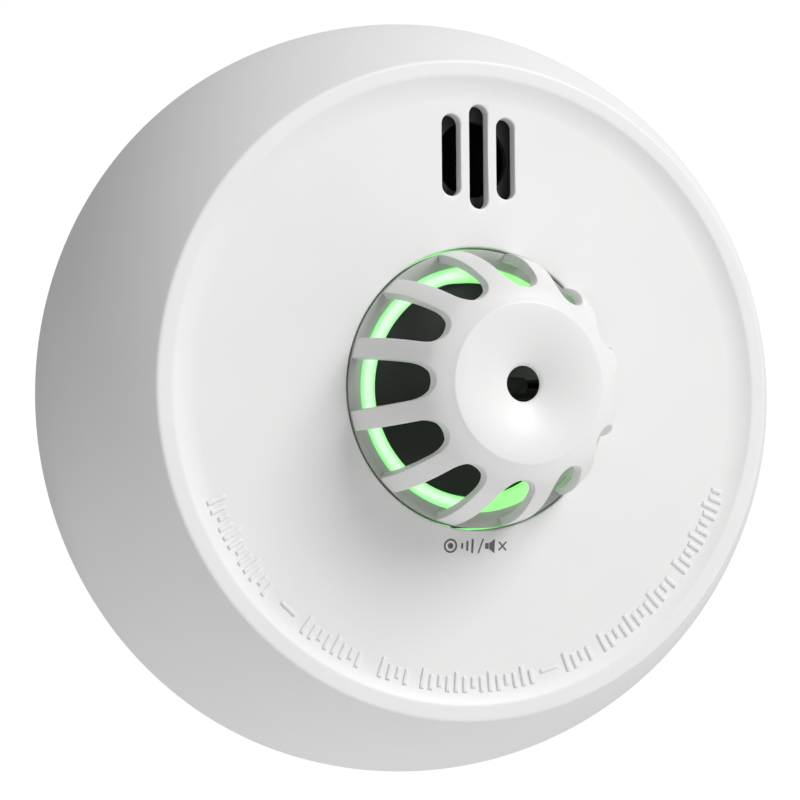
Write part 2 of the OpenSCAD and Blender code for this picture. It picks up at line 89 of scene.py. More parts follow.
class Wire:
    def __init__(self, tree, socket=None):
        self.tree, self.socket = tree, socket

    def node(self, kind, settings=None, values=None, out=0):
        made = self.tree.nodes.new(kind)
        for name, value in (settings or {}).items():
            if name == "stops":
                fillRamp(made.color_ramp, value)
            else:
                setattr(made, name, value)
        for name, value in (values or {}).items():
            if isinstance(value, Wire):
                self.tree.links.new(value.socket, made.inputs[name])
            else:
                made.inputs[name].default_value = value
        return Wire(self.tree, made.outputs[out] if made.outputs else None)

    def sum(self, operation, first, second=0.0):
        return self.node("ShaderNodeMath", {"operation": operation}, {0: first, 1: second})

    def parts(self):  # the three parts of a vector
        split = self.node("ShaderNodeSeparateXYZ", None, {0: self})
        return [Wire(self.tree, socket) for socket in split.socket.node.outputs]

    def clamped(self):
        return self.node("ShaderNodeMath", {"operation": "ADD", "use_clamp": True},
                         {0: self, 1: 0.0})

    def step(self, low, high):  # 0 below low, 1 above high, smooth between
        return self.node("ShaderNodeMapRange", {"interpolation_type": "SMOOTHSTEP"},
                         {"Value": self, "From Min": low, "From Max": high})

    def __add__(self, other):
        return self.sum("ADD", self, other)

    def __sub__(self, other):
        return self.sum("SUBTRACT", self, other)

    def __mul__(self, other):
        return self.sum("MULTIPLY", self, other)

    def __truediv__(self, other):
        return self.sum("DIVIDE", self, other)

    def __radd__(self, other):
        return self.sum("ADD", other, self)

    def __rsub__(self, other):
        return self.sum("SUBTRACT", other, self)

    def __rmul__(self, other):
        return self.sum("MULTIPLY", other, self)

    def __rtruediv__(self, other):
        return self.sum("DIVIDE", other, self)


def fillRamp(ramp, stops):
    while len(ramp.elements) < len(stops):
        ramp.elements.new(0.5)
    for element, (position, colour) in zip(ramp.elements, stops):
        element.position = position
        element.color = (*colour, 1)


# light and floor

lightSet = {
    "all": 0.27,  # even part of the room light
    "lean": (-0.012, -0.08, 0.09),  # brighter towards the right, the front and the top
    "rear": (0.8, 0.0, 0.8),  # and brighter still behind the right side and the top
    "rearLeast": -0.08,
    "backdrop": 1.02,  # the plain white that is seen behind the object
    "keyPlace": (0.70, -1.08, 0.98),
    "keyWatts": 18.4,
    "keySize": 0.8,
    "floorHeight": -0.60,
    "floorSize": 5.0,
    "floorGlow": 0.2,
    "floorShades": ((0.80, 0.80, 0.80), (0.83, 0.83, 0.83)),
}


def addLight(made):
    world = bpy.data.worlds.new("studio")
    world.use_nodes = True
    scene.world = world
    tree = world.node_tree
    tree.nodes.clear()
    wire = Wire(tree)
    where = wire.node("ShaderNodeTexCoord")
    dot = {"operation": "DOT_PRODUCT"}
    lean = wire.node("ShaderNodeVectorMath", dot, {0: where, 1: made["lean"]}, out=1)
    seen = wire.node("ShaderNodeLightPath")
    behind = wire.sum("MAXIMUM", where.parts()[1], 0.0)
    sideways = wire.node("ShaderNodeVectorMath", dot, {0: where, 1: made["rear"]}, out=1)
    room = lean + behind * wire.sum("MAXIMUM", sideways, made["rearLeast"]) + made["all"]
    strength = room * (1 - seen) + seen * made["backdrop"]
    shade = wire.node("ShaderNodeBackground", None, {"Color": (1, 1, 1, 1), "Strength": strength})
    wire.node("ShaderNodeOutputWorld", None, {"Surface": shade})
    lamp = bpy.data.lights.new("key", "AREA")
    lamp.energy, lamp.size = made["keyWatts"], made["keySize"]
    key = bpy.data.objects.new("key", lamp)
    key.location = made["keyPlace"]
    key.rotation_euler = (-Vector(made["keyPlace"])).to_track_quat("-Z", "Y").to_euler()
    scene.collection.objects.link(key)


addLight(lightSet)
print("light placed")


# material helpers


def startMaterial(name, fixed=None):
    material = bpy.data.materials.new(name)
    material.use_nodes = True
    shader = material.node_tree.nodes["Principled BSDF"]
    for socket, value in (fixed or {}).items():
        shader.inputs[socket].default_value = value
    wire = Wire(material.node_tree)
    place = wire.node("ShaderNodeTexCoord", out=3)
    return material, shader, wire, place


def feed(wire, shader, **links):
    for name, value in links.items():
        wire.tree.links.new(value.socket, shader.inputs[name.replace("_", " ")])


def speckle(wire, place, perMetre, detail=3.0, rough=0.55):
    return wire.node("ShaderNodeTexNoise", None,
                     {"Vector": place, "Scale": perMetre, "Detail": detail, "Roughness": rough})


def blendColour(wire, share, first, second):  # 6 and 7 are the colour sockets of a Mix node
    first, second = (end if isinstance(end, Wire) else (*end, 1) for end in (first, second))
    return wire.node("ShaderNodeMix", {"data_type": "RGBA"}, {0: share, 6: first, 7: second}, out=2)


def relief(wire, height, depth, strength=1.0):
    return wire.node("ShaderNodeBump", None,
                     {"Height": height, "Distance": depth, "Strength": strength})


def wander(middle, *noises):  # a value that wanders round its middle, as a noise averages a half
    total = middle - sum(amount for noise, amount in noises) / 2
    for noise, amount in noises:
        total = noise * amount + total
    return total


def fromAxis(wire, place):  # distance from the middle line of the object
    across, _, up = place.parts()
    return wire.sum("SQRT", across * across + up * up)


# moulded plastics: faint flow clouds, a fine tool texture, and roughness that wanders a little; on
# the cage also painted shade

# where the cage's rib sides and opening ends get painted shade
ribShadeSet = {
    "turned": (0.35, 0.9),  # how far a rib's side faces round the ring
    "upright": (0.15, 0.45),  # an opening's end hardly faces forward
    "endFrom": (5.0 * mm, 6.0 * mm),
    "endTo": (13.6 * mm, 14.4 * mm),
}


def paintedRibShade(wire, place):  # painted shade mask: 1 on the sides of the ribs and the round ends of the openings, which are darkened to stand in for the cage's shade
    across, _, up = place.parts()
    facingX, facingY, facingZ = wire.node("ShaderNodeTexCoord", out=1).parts()
    radius = fromAxis(wire, place)
    turned = wire.sum("ABSOLUTE", (facingZ * across - facingX * up) / radius)
    upright = 1.0 - wire.sum("ABSOLUTE", facingY).step(*ribShadeSet["upright"])
    ends = upright * (1.0 - radius.step(*ribShadeSet["endTo"])) * radius.step(*ribShadeSet["endFrom"])
    return (turned.step(*ribShadeSet["turned"]) + ends).clamped()


def mouldedPlastic(name, made):
    material, shader, wire, place = startMaterial(
        name, {"IOR": 1.49, "Specular IOR Level": made.get("gloss", 0.5)})
    cloud = speckle(wire, place, made["cloud"], 2.0)
    grain = speckle(wire, place, made["grain"], 2.0, 0.6)
    colour = blendColour(wire, cloud.step(0.3, 0.7), made["deep"], made["colour"])
    if "shadeBelow" in made:  # painted shade: darker down in the foot of the part, below the top of the ledge
        height = place.parts()[1] * -1.0
        low = 1.0 - height.step(made["shadeBelow"] - 0.1 * mm, made["shadeBelow"])
        colour = blendColour(wire, low, colour, made["shade"])
    # painted shade on the walls that the mask picks out
    if "paintedShadeMask" in made:
        colour = blendColour(wire, made["paintedShadeMask"](wire, place), colour, made["wallShade"])
    feed(wire, shader, Base_Color=colour,
         Roughness=wander(made["rough"], (cloud, 0.06), (grain, 0.08)),
         Normal=relief(wire, grain, made["depth"], made["strength"]))
    return material


plasticSet = {
    "coverPlastic": {"colour": (0.86, 0.86, 0.855), "deep": (0.85, 0.85, 0.846), "rough": 0.42,
                     "cloud": 90, "grain": 3600, "depth": 1e-5, "strength": 0.35},
    "cagePlastic": {"colour": (0.865, 0.865, 0.86), "deep": (0.855, 0.855, 0.85), "rough": 0.38,
                    "cloud": 140, "grain": 4200, "depth": 8e-6, "strength": 0.3,
                    # painted shade on the rib sides and opening ends, and below the top of the
                    # ledge
                    "paintedShadeMask": paintedRibShade, "wallShade": (0.74, 0.74, 0.735),
                    "shadeBelow": 31.38 * mm, "shade": (0.54, 0.535, 0.53)},
    "platePlastic": {"colour": (0.82, 0.82, 0.81), "deep": (0.79, 0.79, 0.78), "rough": 0.52,
                     "cloud": 70, "grain": 2400, "depth": 3e-5, "strength": 0.5},
    "blackPlastic": {"colour": (0.0105, 0.0112, 0.0102), "deep": (0.008, 0.0085, 0.0078),
                     "rough": 0.5, "cloud": 160, "grain": 3000, "depth": 2e-5, "strength": 0.45},
    "hornPlastic": {"colour": (0.034, 0.034, 0.034), "deep": (0.028, 0.028, 0.028), "rough": 0.55,
                    "cloud": 160, "grain": 3000, "depth": 2e-5, "strength": 0.45},
    "ivoryPlastic": {"colour": (0.76, 0.73, 0.62), "deep": (0.72, 0.69, 0.58), "rough": 0.4,
                     "cloud": 200, "grain": 3800, "depth": 1e-5, "strength": 0.4},
    "redPlastic": {"colour": (0.55, 0.045, 0.03), "deep": (0.47, 0.035, 0.025), "rough": 0.38,
                   "cloud": 240, "grain": 4200, "depth": 1e-5, "strength": 0.4},
    "sleevePlastic": {"colour": (0.005, 0.005, 0.005), "deep": (0.003, 0.003, 0.003), "rough": 0.5,
                      "cloud": 600, "grain": 6000, "depth": 1e-5, "strength": 0.5, "gloss": 0.0},
}
plastics = {name: mouldedPlastic(name, made) for name, made in plasticSet.items()}


# metals: drawn or rolled, with fine lines along one way and dull patches


def workedMetal(name, made):
    material, shader, wire, place = startMaterial(name)
    stretched = wire.node("ShaderNodeMapping", None, {"Vector": place, "Scale": made["stretch"]})
    lines = speckle(wire, stretched, made["lines"], 5.0, 0.65)
    dull = speckle(wire, place, made["patch"], 3.0)
    colour = blendColour(wire, dull.step(0.35, 0.72), made["colour"], made["dull"])
    feed(wire, shader, Base_Color=colour,
         Roughness=wander(made["rough"], (lines, 0.16), (dull, 0.12)),
         Metallic=1.0 - dull.step(0.6, 0.9) * made["film"],
         Normal=relief(wire, lines, made["depth"], 0.6))
    return material


metalSet = {
    "springSteel": {"colour": (0.56, 0.56, 0.58), "dull": (0.42, 0.42, 0.43), "rough": 0.3,
                    "film": 0.1, "stretch": (1, 8, 1), "lines": 900, "patch": 400, "depth": 6e-6},
    "discBrass": {"colour": (0.83, 0.62, 0.26), "dull": (0.62, 0.43, 0.18), "rough": 0.34,
                  "film": 0.15, "stretch": (1, 1, 12), "lines": 420, "patch": 180, "depth": 6e-6},
    "contactGold": {"colour": (0.95, 0.71, 0.30), "dull": (0.84, 0.60, 0.25), "rough": 0.26,
                    "film": 0.05, "stretch": (1, 6, 1), "lines": 900, "patch": 500, "depth": 4e-6},
    "cellSteel": {"colour": (0.66, 0.66, 0.65), "dull": (0.52, 0.52, 0.51), "rough": 0.32,
                  "film": 0.12, "stretch": (9, 1, 1), "lines": 500, "patch": 160, "depth": 8e-6},
    "tabNickel": {"colour": (0.68, 0.66, 0.62), "dull": (0.54, 0.52, 0.48), "rough": 0.3,
                  "film": 0.1, "stretch": (1, 1, 10), "lines": 700, "patch": 260, "depth": 6e-6},
    "screwSteel": {"colour": (0.60, 0.61, 0.63), "dull": (0.46, 0.47, 0.47), "rough": 0.34,
                   "film": 0.15, "stretch": (1, 5, 1), "lines": 1200, "patch": 700, "depth": 1e-5},
    "canAluminium": {"colour": (0.78, 0.79, 0.80), "dull": (0.64, 0.65, 0.66),
                     "rough": 0.36, "film": 0.08, "stretch": (1, 10, 1), "lines": 600,
                     "patch": 300, "depth": 6e-6},
}
metals = {name: workedMetal(name, made) for name, made in metalSet.items()}


# the light ring glows: almost white along the middle of its top, deeper green towards its edges

glowSet = {
    "middle": 16.7 * mm,  # radius of the brightest line
    "spread": 1.0 * mm,
    "core": (0.64, 1.0, 0.66),
    "coreTo": 0.45,  # share of the spread
    "edge": (0.43, 0.95, 0.42),
    "edgeAt": 0.78,
    "deep": (0.27, 0.74, 0.27),
    "plain": (0.30, 1.0, 0.24),  # right of the middle it has no bright line
    "plainFrom": -4.5 * mm,
    "plainTo": 0.5 * mm,
    "strength": 1.0,
    "rough": 0.22,
    "body": ((0.16, 0.42, 0.16), (0.2, 0.5, 0.2)),  # the unlit plastic
    "haze": 500,  # per metre
    "hazeShift": 0.2 * mm,  # how far the haze moves the bright line
}


def litAcrylic(made):
    fixed = {"Roughness": made["rough"], "IOR": 1.49, "Emission Strength": made["strength"]}
    material, shader, wire, place = startMaterial("litAcrylic", fixed)
    off = wire.sum("ABSOLUTE", fromAxis(wire, place) - made["middle"])
    haze = speckle(wire, place, made["haze"], 2.0)
    share = ((off + haze * made["hazeShift"]) / made["spread"]).clamped()
    stops = [(0.0, made["core"]), (made["coreTo"], made["core"]),
             (made["edgeAt"], made["edge"]), (1.0, made["deep"])]
    glow = wire.node("ShaderNodeValToRGB", {"stops": stops}, {"Fac": share})
    right = place.parts()[0].step(made["plainFrom"], made["plainTo"])
    feed(wire, shader, Base_Color=blendColour(wire, haze, *made["body"]),
         Emission_Color=blendColour(wire, right, glow, made["plain"]),
         Normal=relief(wire, haze, 0.00002, 0.3))
    return material


# circuit board: green mask over faint copper tracks, with pale dots where holes are plated

boardSet = {
    "mask": (0.008, 0.11, 0.045),
    "overCopper": (0.022, 0.21, 0.085),
    "dot": (0.72, 0.66, 0.52),
    "tracks": 231,  # per metre
    "trackEdge": (0.16, 0.12),  # the gap between two cells that counts as a track
    "dots": 130,
    "dotEdge": (0.085, 0.07),
    "weave": 2600,
}


def boardLaminate(made):
    fixed = {"IOR": 1.5, "Coat Roughness": 0.12}
    material, shader, wire, place = startMaterial("boardLaminate", fixed)
    flat = wire.node("ShaderNodeMapping", None, {"Vector": place, "Scale": (1.0, 0.0, 1.0)})
    nearest, second = (
        wire.node("ShaderNodeTexVoronoi", {"distance": "CHEBYCHEV", "feature": feature},
                  {"Vector": flat, "Scale": made["tracks"], "Randomness": 0.8})
        for feature in ("F1", "F2"))
    tracks = (second - nearest).step(*made["trackEdge"])
    holes = wire.node("ShaderNodeTexVoronoi", {"feature": "F1"},
                      {"Vector": flat, "Scale": made["dots"]})
    plated = holes.step(*made["dotEdge"])
    weave = speckle(wire, place, made["weave"], 2.0)
    colour = blendColour(wire, tracks, made["mask"], made["overCopper"])
    colour = blendColour(wire, plated, colour, made["dot"])
    feed(wire, shader, Base_Color=colour, Roughness=0.34 + weave * 0.12 - plated * 0.1,
         Metallic=plated * 0.8, Coat_Weight=0.6 - plated * 0.6,
         Normal=relief(wire, tracks * 0.6 + plated + weave * 0.15, 0.00004, 0.7))
    return material


# small finishes


def grainyFinish(name, made):
    material, shader, wire, place = startMaterial(name, made.get("fixed"))
    grain = speckle(wire, place, made["grain"], made.get("detail", 4.0), 0.6)
    cloud = speckle(wire, place, made["cloud"], 2.0)
    share = (grain * 0.6 + cloud * 0.4).step(0.35, 0.65)
    feed(wire, shader, Base_Color=blendColour(wire, share, made["colour"], made["other"]),
         Roughness=wander(made["rough"], (grain, 0.14)),
         Normal=relief(wire, grain, made["depth"], made.get("strength", 0.6)))
    return material


grainSet = {
    "chipEpoxy": {"colour": (0.016, 0.016, 0.018), "other": (0.026, 0.026, 0.028), "rough": 0.55,
                  "grain": 5200, "cloud": 500, "depth": 2e-5},
    "ferrite": {"colour": (0.045, 0.042, 0.040), "other": (0.075, 0.068, 0.062), "rough": 0.62,
                "grain": 2600, "cloud": 300, "depth": 4e-5},
    "lightChip": {"colour": (0.86, 0.88, 0.74), "other": (0.80, 0.84, 0.62), "rough": 0.35,
                  "grain": 3000, "cloud": 700, "depth": 1e-5},
    "beadEpoxy": {"colour": (0.026, 0.026, 0.026), "other": (0.034, 0.034, 0.034), "rough": 0.42,
                  "grain": 900, "cloud": 400, "depth": 2e-5,
                  "fixed": {"Specular IOR Level": 0.0}},
    "foamRubber": {"colour": (0.05, 0.05, 0.05), "other": (0.10, 0.10, 0.10), "rough": 0.85,
                   "grain": 2200, "cloud": 600, "depth": 0.00012, "strength": 0.9},
    "whiteCeramic": {"colour": (0.74, 0.73, 0.70), "other": (0.80, 0.79, 0.77), "rough": 0.5,
                     "grain": 3400, "cloud": 260, "depth": 1e-5},
    "cellWrap": {"colour": (0.05, 0.28, 0.13), "other": (0.06, 0.33, 0.155), "rough": 0.28,
                 "grain": 500, "cloud": 120, "depth": 3e-5, "fixed": {"Coat Roughness": 0.1}},
    "labelFilm": {"colour": (0.70, 0.71, 0.71), "other": (0.76, 0.765, 0.76), "rough": 0.36,
                  "grain": 1500, "cloud": 90, "depth": 1e-5},
    "greyInk": {"colour": (0.115, 0.115, 0.115), "other": (0.145, 0.145, 0.145), "rough": 0.55,
                "grain": 6000, "cloud": 900, "depth": 1e-5},
}
finishes = {name: grainyFinish(name, made) for name, made in grainSet.items()}
finishes["litAcrylic"] = litAcrylic(glowSet)
finishes["boardLaminate"] = boardLaminate(boardSet)
finishes.update(plastics)
finishes.update(metals)

nodeFinish = {
    "mounting_plate": "platePlastic", "rear_housing": "platePlastic",
    "front_cover": "coverPlastic", "inner_frame": "blackPlastic",
    "light_guide": "litAcrylic", "push_cage": "cagePlastic",
    "cage_springs": "springSteel", "test_switch_body": "blackPlastic",
    "test_switch_stem": "redPlastic", "circuit_board": "boardLaminate",
    "control_chips": "chipEpoxy", "chip_resistors": "chipEpoxy",
    "filter_capacitors": "canAluminium", "sounder_coil": "ferrite",
    "status_lights": "lightChip", "thermistor_bead": "beadEpoxy",
    "thermistor_leads": "sleevePlastic", "thermistor_post": "blackPlastic",
    "sounder_horn": "hornPlastic", "sounder_gasket": "foamRubber",
    "piezo_disc": "discBrass", "piezo_ceramic": "whiteCeramic",
    "sounder_contacts": "contactGold", "battery_cell": "cellSteel",
    "battery_wrap": "cellWrap", "battery_tabs": "tabNickel",
    "power_switch_body": "blackPlastic", "power_plunger": "ivoryPlastic",
    "housing_screws": "screwSteel", "board_screws": "screwSteel",
    "rating_label": "labelFilm",
}
for name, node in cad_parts.items():
    node.data.materials.clear()
    node.data.materials.append(finishes[nodeFinish[name]])
print("finishes on", len(nodeFinish), "nodes")


# mesh helpers: everything is drawn as x right, y up, h away from the wall, in millimetres


def spot(x, y, h):
    return Vector((x, -h, y)) * mm


def polar(radius, angle, h):
    return spot(radius * math.cos(angle), radius * math.sin(angle), h)


def aroundAngles(count):
    return [math.tau * k / count for k in range(count)]


def bend(start, corner, end, steps):
    return [start * (1 - t) ** 2 + corner * (2 * t * (1 - t)) + end * t * t
            for t in (k / steps for k in range(steps + 1))]


def softened(corners, steps=4):  # each corner is a radius, a height and how far it is rounded
    line = []
    count = len(corners)
    for i, (r, h, soft) in enumerate(corners):
        here = Vector((r, h))
        if soft == 0:
            line.append(here)
            continue
        before = Vector(corners[i - 1][:2]) - here
        after = Vector(corners[(i + 1) % count][:2]) - here
        start = here + before.normalized() * min(soft, before.length * 0.48)
        end = here + after.normalized() * min(soft, after.length * 0.48)
        line += bend(start, here, end, steps)
    return line


def arc(centre, radius, start, end, steps):
    angles = [start + (end - start) * k / steps for k in range(steps + 1)]
    return [(centre[0] + radius * math.cos(a), centre[1] + radius * math.sin(a)) for a in angles]


def skin(mesh, rows, ringed=True, closed=False):  # faces between rows; ringed joins a row's ends
    pairs = zip(rows, rows[1:] + rows[:1]) if closed else zip(rows, rows[1:])
    for one, two in pairs:
        for k in range(len(one) if ringed else len(one) - 1):
            n = (k + 1) % len(one)
            mesh.faces.new((one[k], one[n], two[n], two[k]))


def lathe(mesh, line, turns, closed=True, centre=(0, 0)):
    rings = [[mesh.verts.new(polar(r, a, h) + spot(*centre, 0)) for a in aroundAngles(turns)]
             for r, h in line]
    skin(mesh, rings, closed=closed)


def fillHoles(mesh):
    bmesh.ops.holes_fill(mesh, edges=[e for e in mesh.edges if e.is_boundary], sides=0)


def asObject(mesh, name):
    bmesh.ops.recalc_face_normals(mesh, faces=mesh.faces)
    data = bpy.data.meshes.new(name)
    mesh.to_mesh(data)
    mesh.free()
    made = bpy.data.objects.new(name, data)
    scene.collection.objects.link(made)
    return made


def finishPiece(name, mesh, finish, body, replaced=(), crease=32):
    piece = asObject(mesh, name)
    piece.data.shade_smooth()
    piece.data.set_sharp_from_angle(angle=math.radians(crease))
    piece.data.materials.append(finishes[finish])
    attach(piece, body)
    if replaced:
        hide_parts(*replaced)
    return piece


def combine(base, tool, operation):
    change = base.modifiers.new("combine", "BOOLEAN")
    change.operation, change.object, change.solver = operation, tool, "EXACT"
    bpy.context.view_layer.update()
    result = bmesh.new()
    result.from_mesh(base.evaluated_get(bpy.context.evaluated_depsgraph_get()).to_mesh())
    for spare in (base, tool):
        data = spare.data
        bpy.data.objects.remove(spare)
        bpy.data.meshes.remove(data)
    return result


def evenShading(piece):
    even = piece.modifiers.new("even shading", "WEIGHTED_NORMAL")
    even.weight, even.keep_sharp = 60, True


# front cover: a bowl turned from one outline, with softened edges and three rolled-edge slots

coverSet = {
    "bodyR": 58, "bodyH": 31, "skirt": 0.6, "upright": 1, "wall": 2,
    "rimR": 47.7, "rimW": 2.2, "dishR": 8, "dishW": 3.6,
    "collarR": 20.4, "collarT": 1.4, "collarLow": 27.05, "collarGap": 0.6,
    "faceMid": 31.5, "faceCurve": 1.8,
    "roofIn": 29.3, "roofOut": 28.15, "roofTo": 46.7, "roofStops": (26, 30, 34, 38, 42),
    "rimSoft": (0.45, 0.4), "collarSoft": (0.3, 0.2, 0.2), "skirtSoft": (0.2, 0.15),
    "sideTrim": (0.006, 0.012), "insideTrim": 0.004,  # radians left for the rounded edges
    "sideSteps": 40, "dishSteps": 10, "faceSteps": 10, "insideSteps": 20,
    "bossR": 43, "bossWide": 3.2, "bossHole": 1.35, "bossLow": 7.2, "bossAngles": (30, 150, 270),
    "bossIntoRoof": 0.5, "bossTurns": 48, "turns": 288,
}
slotSet = {
    "width": 2.9, "pitch": 4.3, "lengths": (12, 15.3, 12), "up": 33.8,
    "depths": (4.4, 2.2, 1.2),  # of the straight wall below the rolled edge
    "roll": 0.24,  # radius of the rolled edge
    "rollTo": 75,  # degrees
    "rows": 7, "endParts": 24,
    "flare": (0.5, 0.134),  # out and up, above the face
}


def faceHeight(radius, made=coverSet):
    dishX = made["rimR"] - made["rimW"] - made["dishW"]
    dishY = made["bodyH"] - made["dishR"] + math.sqrt(made["dishR"] ** 2 - made["dishW"] ** 2)
    if radius > dishX:
        return dishY + made["dishR"] - math.sqrt(made["dishR"] ** 2 - (radius - dishX) ** 2)
    share = (dishX - radius) / (dishX - made["collarR"])
    return dishY + (made["faceMid"] - dishY) * max(share, 0) ** made["faceCurve"]


def coverLine(made):
    lean, rise = made["bodyR"] - made["rimR"], made["bodyH"] - made["upright"]
    sideR = (lean * lean + rise * rise) / (2 * lean)
    sideX = made["bodyR"] - sideR
    centre = (sideX, made["upright"])
    inR = sideR - made["wall"]
    rimIn = made["rimR"] - made["rimW"]
    dishX = rimIn - made["dishW"]
    low = math.asin((made["skirt"] - made["upright"]) / sideR)
    high = math.asin(rise / sideR)
    afterSkirt, beforeRim = made["sideTrim"]
    corners = [(made["bodyR"] - 0.01, made["skirt"], made["skirtSoft"][0])]
    corners += [(x, y, 0) for x, y in
                arc(centre, sideR, low + afterSkirt, high - beforeRim, made["sideSteps"])]
    corners += [(r, made["bodyH"], soft) for r, soft in zip((made["rimR"], rimIn), made["rimSoft"])]
    dish = [rimIn - made["dishW"] * k / made["dishSteps"] for k in range(1, made["dishSteps"])]
    faceEnd = made["collarR"] + made["collarGap"]
    face = [dishX + (faceEnd - dishX) * k / made["faceSteps"] for k in range(made["faceSteps"] + 1)]
    corners += [(r, faceHeight(r), 0) for r in dish + face]
    collarIn, collarOut = made["collarR"], made["collarR"] + made["collarT"]
    softTop, softIn, softOut = made["collarSoft"]
    corners += [(collarIn, made["faceMid"], softTop), (collarIn, made["collarLow"], softIn),
                (collarOut, made["collarLow"], softOut), (collarOut, made["roofIn"], 0)]
    fall = (made["roofOut"] - made["roofIn"]) / (made["roofTo"] - collarOut)
    corners += [(r, made["roofIn"] + fall * (r - collarOut), 0) for r in made["roofStops"]]
    corners.append((made["roofTo"], made["roofOut"], 0))
    top = math.asin((made["roofOut"] - made["upright"]) / inR)
    foot = math.asin((made["skirt"] - made["upright"]) / inR)
    corners += [(x, y, 0) for x, y in
                arc(centre, inR, top, foot + made["insideTrim"], made["insideSteps"])]
    corners.append((sideX + inR - 0.01, made["skirt"], made["skirtSoft"][1]))
    return softened(corners)


def slotTool(made, x, length):
    half, straight = made["width"] / 2, (length - made["width"]) / 2
    path = []
    for end, start in ((1, 0), (-1, math.pi)):
        for a in (math.pi * k / made["endParts"] + start for k in range(made["endParts"] + 1)):
            path.append((math.cos(a), math.sin(a), end * straight))
    levels = [(0, depth) for depth in made["depths"]]
    for k in range(made["rows"] + 1):
        a = math.radians(made["rollTo"]) * k / made["rows"]
        levels.append((made["roll"] * (1 - math.cos(a)), made["roll"] * (1 - math.sin(a))))
    levels.append((levels[-1][0] + made["flare"][0], levels[-1][1] - made["flare"][1]))
    tool = bmesh.new()
    rings = []
    for out, depth in levels:
        ring = []
        for cx, cy, offset in path:
            px, py = x + cx * (half + out), made["up"] + offset + cy * (half + out)
            ring.append(tool.verts.new(spot(px, py, faceHeight(math.hypot(px, py)) - depth)))
        rings.append(ring)
    skin(tool, rings)
    tool.faces.new(rings[0])
    tool.faces.new(rings[-1])
    return tool


def addCover(made, slots):
    body = bmesh.new()
    lathe(body, coverLine(made), made["turns"])
    cover = asObject(body, "coverBlank")
    for place, length in zip((-1, 0, 1), slots["lengths"]):
        tool = asObject(slotTool(slots, place * slots["pitch"], length), "slotTool")
        cover = asObject(combine(cover, tool, "DIFFERENCE"), "coverBlank")
    mesh = bmesh.new()
    mesh.from_mesh(cover.data)
    bpy.data.objects.remove(cover)
    bossTop = made["roofOut"] + made["bossIntoRoof"]
    line = softened([(made["bossHole"], made["bossLow"], 0.2),
                     (made["bossWide"], made["bossLow"], 0.3),
                     (made["bossWide"], bossTop, 0), (made["bossHole"], bossTop, 0)])
    for a in map(math.radians, made["bossAngles"]):
        centre = (made["bossR"] * math.cos(a), made["bossR"] * math.sin(a))
        lathe(mesh, line, made["bossTurns"], centre=centre)
    piece = finishPiece("cover_shell", mesh, "coverPlastic", "alarm_head",
                        ("front_cover",))
    evenShading(piece)
    print("cover made:", len(piece.data.polygons), "faces")


addCover(coverSet, slotSet)


# push cage: hub and funnel turned, ribs laid out one half at a time and mirrored round

cageSet = {
    "ribs": 12, "ribWide": 2.9, "openingIn": 13.3, "top": 48.6, "hubR": 11.1, "eyeR": 2.5,
    "footR": 20.1, "footH": 31.7, "ledge": 31.3, "browR": 13.6, "browH": 47.4, "bulge": 1.2,
    "thick": 1.3, "hubLow": 45.1, "band": 1.1, "ringIn": 18.0, "ringLow": 28.6,
    "funnel": 2.0, "funnelFlat": 1.2, "funnelSteps": 26,  # flat: where its slope begins
    "hubEdge": (0.55, 0.35),  # out and down from the corner of the hub
    "knee": 2.2,  # depth below the top at which the ribs' own curve begins
    "kneeTurn": 2,  # degrees by which the shoulder leaves that curve
    "soft": 0.16,  # how far the rib edges are rounded
    "shoulder": 0.55,  # fullness of the shoulder between the hub and the ribs
    "ledgeFall": 1.05, "ledgeIn": 17.82,  # the ledge between the ribs falls towards the light ring
    "webColumns": 16, "ribColumns": 34, "turnsPerRib": 16,
    "legAt": 18.9, "legAngles": (15, 165, 270), "legWide": 4, "legThick": 1.4,
    "legLow": (18.9, 22.6, 22.6), "legSoft": 0.18, "legIntoRing": 0.3, "ringTurns": 240,
    "hookH": 23.4, "hookOut": 1.05, "hookThick": 1.0, "hookTall": 1.1,
}


